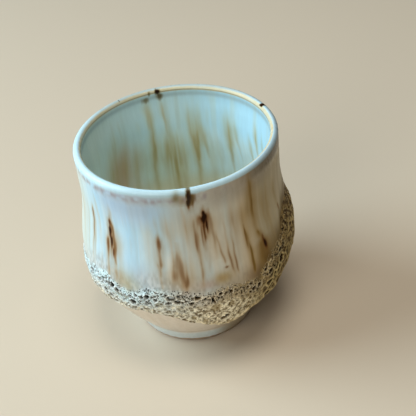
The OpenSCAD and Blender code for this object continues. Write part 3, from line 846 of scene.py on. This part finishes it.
# How far rims stand out of the face, and how deep hollows and pores go into it
RIM_OUT, HOLLOW_IN, PORE_IN = 0.22, 0.55, 1.75
a = np.broadcast_to(azimuths(CRATER_COLS), (FACE_ROWS, CRATER_COLS))
low, top = band_low(a), band_top(a)
foot_of_face = low + LIP_H
z = foot_of_face + (top + RUN_ON - foot_of_face) * np.linspace(0, 1, FACE_ROWS)[:, None]
share, under_top = (z - low) / (top - low), top - z
v = z / 100
right = window(a, 30, 25, 200, 60)
near_front = 1 - 0.6 * ease((a - 55) / 10)
coarse = window(a, 28, 16, 200, 60) * near_front
lip_ridge = window(a, -6, 22, 200, 60) * near_front * ease((3 - (z - low)) / 1.6)
thick = 0.2 + CRUST_T * (1 - 0.25 * right) * np.sqrt(unit(1 - share))
thick *= ease((1.1 - share) / 0.4)
lumps = 0.9 * (noise(a, v, 34, 12, 90) - 0.5) + 0.7 * (noise(a, v, 80, 30, 94) - 0.5)
# Pinholes along the upper edge, a row of open pores below them, and a fine network down to the lower lip
pinholes = ease((under_top + 1.4) / 1.8) * ease((7 - under_top) / 4)
left = window(a, -120, 30, -15, 20)
open_row = ease((under_top - 1.5) / 2.5) * ease((9 + 2 * right + 4 * left - under_top) / 3)
network = ease((under_top - 6) / 4)
x = (a + 180) * MM_PER_DEGREE + 0.5 * (noise(a, v, 220, 80, 91) - 0.5)
y = z + 0.5 * (noise(a, v, 220, 80, 92) - 0.5)


def pores(size, tall, seed, share_open, widest):
    """Round pores in some of the cells of a foam: how deep they are, from 0 to 1, and their raised rims."""
    near, _, lot, own = foam_cells(x, y, size, tall, seed)
    is_open = lot < share_open
    d = near / (size * widest * (0.5 + 0.5 * own))
    deep = 0.45 + 0.55 * (lot * 37 % 1)
    return np.where(is_open, deep * dip(d), 0), np.where(is_open, bell(d - 1.12, 0.22), 0)


huge_open = 0.14 * ease((a - 58) / 10) * right * open_row
small_open = 0.62 * open_row + 0.08 * network + 0.35 * pinholes
huge, huge_rim = pores(4.6, 1.3, seed=96, share_open=huge_open, widest=0.4)
dish = np.zeros_like(huge)
ragged = 0.4 * (noise(a, v, 330, 120, 89) - 0.5)
for at, height, wide, high, depth in SHOWN_PORES:
    d = np.hypot(around_from(a, at) * MM_PER_DEGREE / wide, (z - height) / high) + ragged
    if depth < DISH:
        dish = np.maximum(dish, depth * dip(d))
    else:
        huge = np.maximum(huge, depth * dip(d))
    huge_rim = np.maximum(huge_rim, (0.35 if depth < DISH else 1) * bell(d - 1.15, 0.25))
large, large_rim = pores(2.1, 1.2, seed=97, share_open=0.42 * open_row, widest=0.46)
small, small_rim = pores(1.2, 1.25, seed=93, share_open=small_open, widest=0.46)
large *= 1 - unit(4 * np.maximum(huge, dish) + huge_rim)
small *= 1 - unit(4 * np.maximum(large, huge) + large_rim + huge_rim)
_, mid_wall, mid_lot, _ = foam_cells(x, y, 2.3, 1.25, seed=95)
_, fine_wall, fine_lot, _ = foam_cells(x, y, 1.2, 1.25, seed=100)
_, wide_wall, wide_lot, _ = foam_cells(x, y, 3.6, 1.4, seed=101)
strand = np.maximum(bell(mid_wall, 0.3), 0.6 * bell(fine_wall, 0.16))
strand += (bell(wide_wall, 0.42) - strand) * coarse
dark_cell = 0.15 + 0.75 * mid_lot + 0.3 * fine_lot
dark_cell += (0.1 + wide_lot - dark_cell) * coarse
ridge = strand * network
pit = np.maximum(np.maximum(huge, large), 0.8 * small)
rim = np.maximum(np.maximum(huge_rim, large_rim), 0.7 * small_rim) * (1 - unit(pit * 3))
hollow = network * (1 - strand) * dark_cell * (1 - unit(3 * pit + rim)) * (1 - lip_ridge)
face = thick + lumps * ease((1 - share) / 0.25) - 0.14 * ease((share - 0.9) / 0.2) + 0.3 * lip_ridge
deepest = -0.42 * ease((0.88 - share) / 0.14) - 0.14
raised = RIM_OUT * rim * ease((1.05 - share) / 0.2)
sunk = HOLLOW_IN * hollow * ease(share / 0.15)
out = np.maximum(face + raised - sunk - PORE_IN * pit - dish, deepest)

# Rounded lower lip of the crust, from under its edge out to the face
s = np.linspace(0, 1, LIP_ROWS)[:-1, None]
lip_z = low[:1] + LIP_H * (1 - np.sin(math.pi * s))
lip_out = -TUCK + (face[:1] + TUCK) * s
a, z, out = (np.vstack(p) for p in ((np.broadcast_to(a[:1], lip_z.shape), a), (lip_z, z), (lip_out, out)))
plain = np.zeros(lip_z.shape)
pit, dish, rim, ridge, hollow, share, network, pinholes, open_row, coarse, lip_ridge = (
    np.vstack([plain, p])
    for p in (pit, dish, rim, ridge, hollow, share, network, pinholes, open_row, coarse, lip_ridge)
)
tilt = outer_r(z + 0.5) - outer_r(z - 0.5)
lean = np.sqrt(1 + tilt * tilt)
r = outer_r(z) + out / lean
points = np.stack([r * np.sin(np.radians(a)), -r * np.cos(np.radians(a)), z - out * tilt / lean], -1)

# Its paint: a cool left side, a dark right side in painted shade, and a pale network with brown hollows
# between them, the hollows partly painted shade
v = z / 100
fine, cell = noise(a, v, 300, 110, 98), noise(a, v, 90, 40, 99)
above_low = z - low[:1]
cool_side = window(a, -150, 40, 10, 40)
cool = cool_side * (0.5 + 0.5 * ease((above_low - 1.5) / 5))
shade = window(a, 14, 36, 200, 60)
c = paint_over(ground("C8C2B6", a), "ADA28C", ease((fine - 0.4) / 0.4))
c = paint_over(c, "EFE6CA", network * (1 - 0.7 * cool_side))
c = paint_over(c, "CAE6EE", 0.9 * cool)
c = paint_over(c, "9A9078", 0.6 * cool_side * ease((3.2 - above_low) / 2.5))
# Painted shade over the right side
c = paint_over(c, "705422", 0.88 * shade)
# Hollows darker: partly the glaze's colour, partly painted shade in them
c = paint_over(c, "5E4C2C", hollow * (1 - cool) * (1 - shade))
c = paint_over(c, "241806", unit(1.1 * hollow) * shade)
c = paint_over(c, "7F8076", 0.8 * hollow * cool)
c = paint_over(c, "6A5C40", 0.65 * hollow * cool_side * ease((6 - above_low) / 4))
# Ridges and rims lighter: partly the pale glaze, partly painted highlight
bright = np.maximum(ridge * (0.6 + 0.6 * cell), rim) * (1 - cool)
c = paint_over(c, "FFF8E2", 0.95 * bright * (1 - shade))
# Grit on it
grit = noise(a, v, 330, 130, 102)
gritty = network * (1 - 0.7 * coarse)
c = paint_over(c, "FAF2D8", 0.75 * gritty * ease((grit - 0.52) / 0.22) * (1 - 0.5 * shade))
c = paint_over(c, "4E3A1A", 0.54 * gritty * ease((0.43 - grit) / 0.22) * (1 - 0.5 * cool))
c = paint_over(c, "38240C", 0.6 * shade * ease((0.46 - grit) / 0.25) * (1 - 0.5 * coarse))
c = paint_over(c, "D2C096", 0.65 * lip_ridge * (0.5 + 0.6 * cell))
# The same lighter ridges and rims, cream on the shaded right and white on the cool left, partly painted
# highlight
c = paint_over(c, "E2CF98", 0.95 * bright * shade)
c = paint_over(c, "EEF5F7", 0.9 * np.maximum(ridge, rim) * cool)
# The colour of the wall where the crust runs out
fade_out = ease((share - 0.8 + 0.3 * (cell - 0.5)) / 0.28)
c = c + (outside_paint(a, z) - c) * fade_out[..., None]
c = paint_over(c, "AE9A70", 0.6 * (1 - network) * window(a, -2, 22, 80, 20) * ease((1.05 - share) / 0.15))
# Pale rims around the pores: partly the glaze, partly painted highlight
c = paint_over(c, "EDE4CE", 0.7 * rim * (1 - network) * (1 - cool) * (1 - 0.6 * shade))
far_right = ease((share - 0.35) / 0.3) * window(a, 50, 12, 125, 25)
c = paint_over(c, "2C1806", 0.62 * far_right * ease((0.44 - grit) / 0.16))
c = paint_over(c, "B0935A", 0.4 * far_right * ease((grit - 0.56) / 0.2))
# Pores darker the deeper they go, as painted shade in them; dishes; and the lowest edge, partly iron and
# partly painted shade under the lip
c = paint_over(c, "6B5430", 0.85 * ease(pit / 0.25) * (1 - 0.6 * cool))
c = paint_over(c, "6A6A66", 0.8 * ease(pit / 0.25) * cool)
c = paint_over(c, "2E1806", 0.85 * ease(pit / 0.3) * shade)
# Painted shade: the deepest pores near black
c = paint_over(c, "0A0604", ease((pit - 0.36) / 0.28))
c = paint_over(c, "8C7850", ease(dish / 0.45) * (0.55 - 0.3 * cool))
# Lowest edge: partly an iron line, partly painted shade under the rounded lip
c = paint_over(c, "6B4A2C", 0.6 * ease((0.5 - above_low) / 0.4))
solid = 1 - ease(pit / 0.3)
piece("crater_crust", points, c, FOAM, "crater_glaze", "crater_glaze",
      foam=(0.5 - 0.1 * network) * solid * (1 - fade_out) * (1 - 0.6 * coarse),
      holes=unit(pinholes + 0.6 * open_row) * (0.6 + 0.5 * cell) * solid)


# Camera, fitted to the photograph
FRAME_PX, FOCAL_PX, SENSOR = 416, 850.0, 36.0
TARGET, TARGET_PX = Vector((0, 0, 46.5)) * MM, (187.0, 222.5)
ELEVATION, ROLL, DISTANCE = math.radians(37.29), math.radians(-7.77), 374.7 * MM
back = Vector((0, -math.cos(ELEVATION), math.sin(ELEVATION)))
right_px, down_px = (p - FRAME_PX / 2 for p in TARGET_PX)
sight = Vector((right_px / FOCAL_PX, -down_px / FOCAL_PX, -1)).normalized()
swing = Vector((0, 0, -1)).rotation_difference(sight)
camera = bpy.data.objects.new("camera", bpy.data.cameras.new("camera"))
camera.data.sensor_width = SENSOR
camera.data.lens = FOCAL_PX / FRAME_PX * SENSOR
camera.data.clip_start = 0.01
camera.location = TARGET + back * DISTANCE
camera.rotation_mode = "QUATERNION"
level = (-back).to_track_quat("-Z", "Y")
camera.rotation_quaternion = level @ swing.inverted() @ Quaternion(sight, ROLL).inverted()
bpy.context.scene.collection.objects.link(camera)
bpy.context.scene.camera = camera

# Floor, with half its width in metres
HALF = 2
floor_mesh = bpy.data.meshes.new("floor")
corners = [(-HALF, -HALF, 0), (HALF, -HALF, 0), (HALF, HALF, 0), (-HALF, HALF, 0)]
floor_mesh.from_pydata(corners, [], [(0, 1, 2, 3)])
floor_mat = bpy.data.materials.new("pale_floor")
floor_mat.use_nodes = True
floor_shader = floor_mat.node_tree.nodes["Principled BSDF"]
floor_shader.inputs["Base Color"].default_value = (*linear(hex_rgb("C6BAA8")), 1)
floor_shader.inputs["Roughness"].default_value = 0.7
floor_mesh.materials.append(floor_mat)
floor_obj = bpy.data.objects.new("floor", floor_mesh)
bpy.context.scene.collection.objects.link(floor_obj)


# Light: a cool window on the left, two warm lamps of the room, and a weak sky. Places and sizes in metres.
LIT = Vector((0, 0, 0.05))
WARM = (1.0, 0.94, 0.84)


def softbox(name, place, size, watts, colour):
    """A round soft lamp that points at the mug."""
    lamp = bpy.data.lights.new(name, "AREA")
    lamp.shape, lamp.size, lamp.energy, lamp.color = "DISK", size, watts, colour
    obj = bpy.data.objects.new(name, lamp)
    obj.location = place
    obj.rotation_euler = (LIT - Vector(place)).to_track_quat("-Z", "Y").to_euler()
    bpy.context.scene.collection.objects.link(obj)


softbox("window", (-1.0, 0.15, 0.85), 0.9, 18.5, (0.76, 0.92, 1.0))
softbox("room", (-0.7, -0.95, 0.75), 0.8, 7.0, WARM)
softbox("ceiling", (0.1, -0.1, 1.3), 0.6, 7.0, WARM)
world = bpy.data.worlds.new("sky")
world.use_nodes = True
background = world.node_tree.nodes["Background"]
background.inputs["Color"].default_value = (1.0, 0.93, 0.82, 1)
background.inputs["Strength"].default_value = 0.1
bpy.context.scene.world = world
bpy.context.scene.view_settings.view_transform = "Standard"
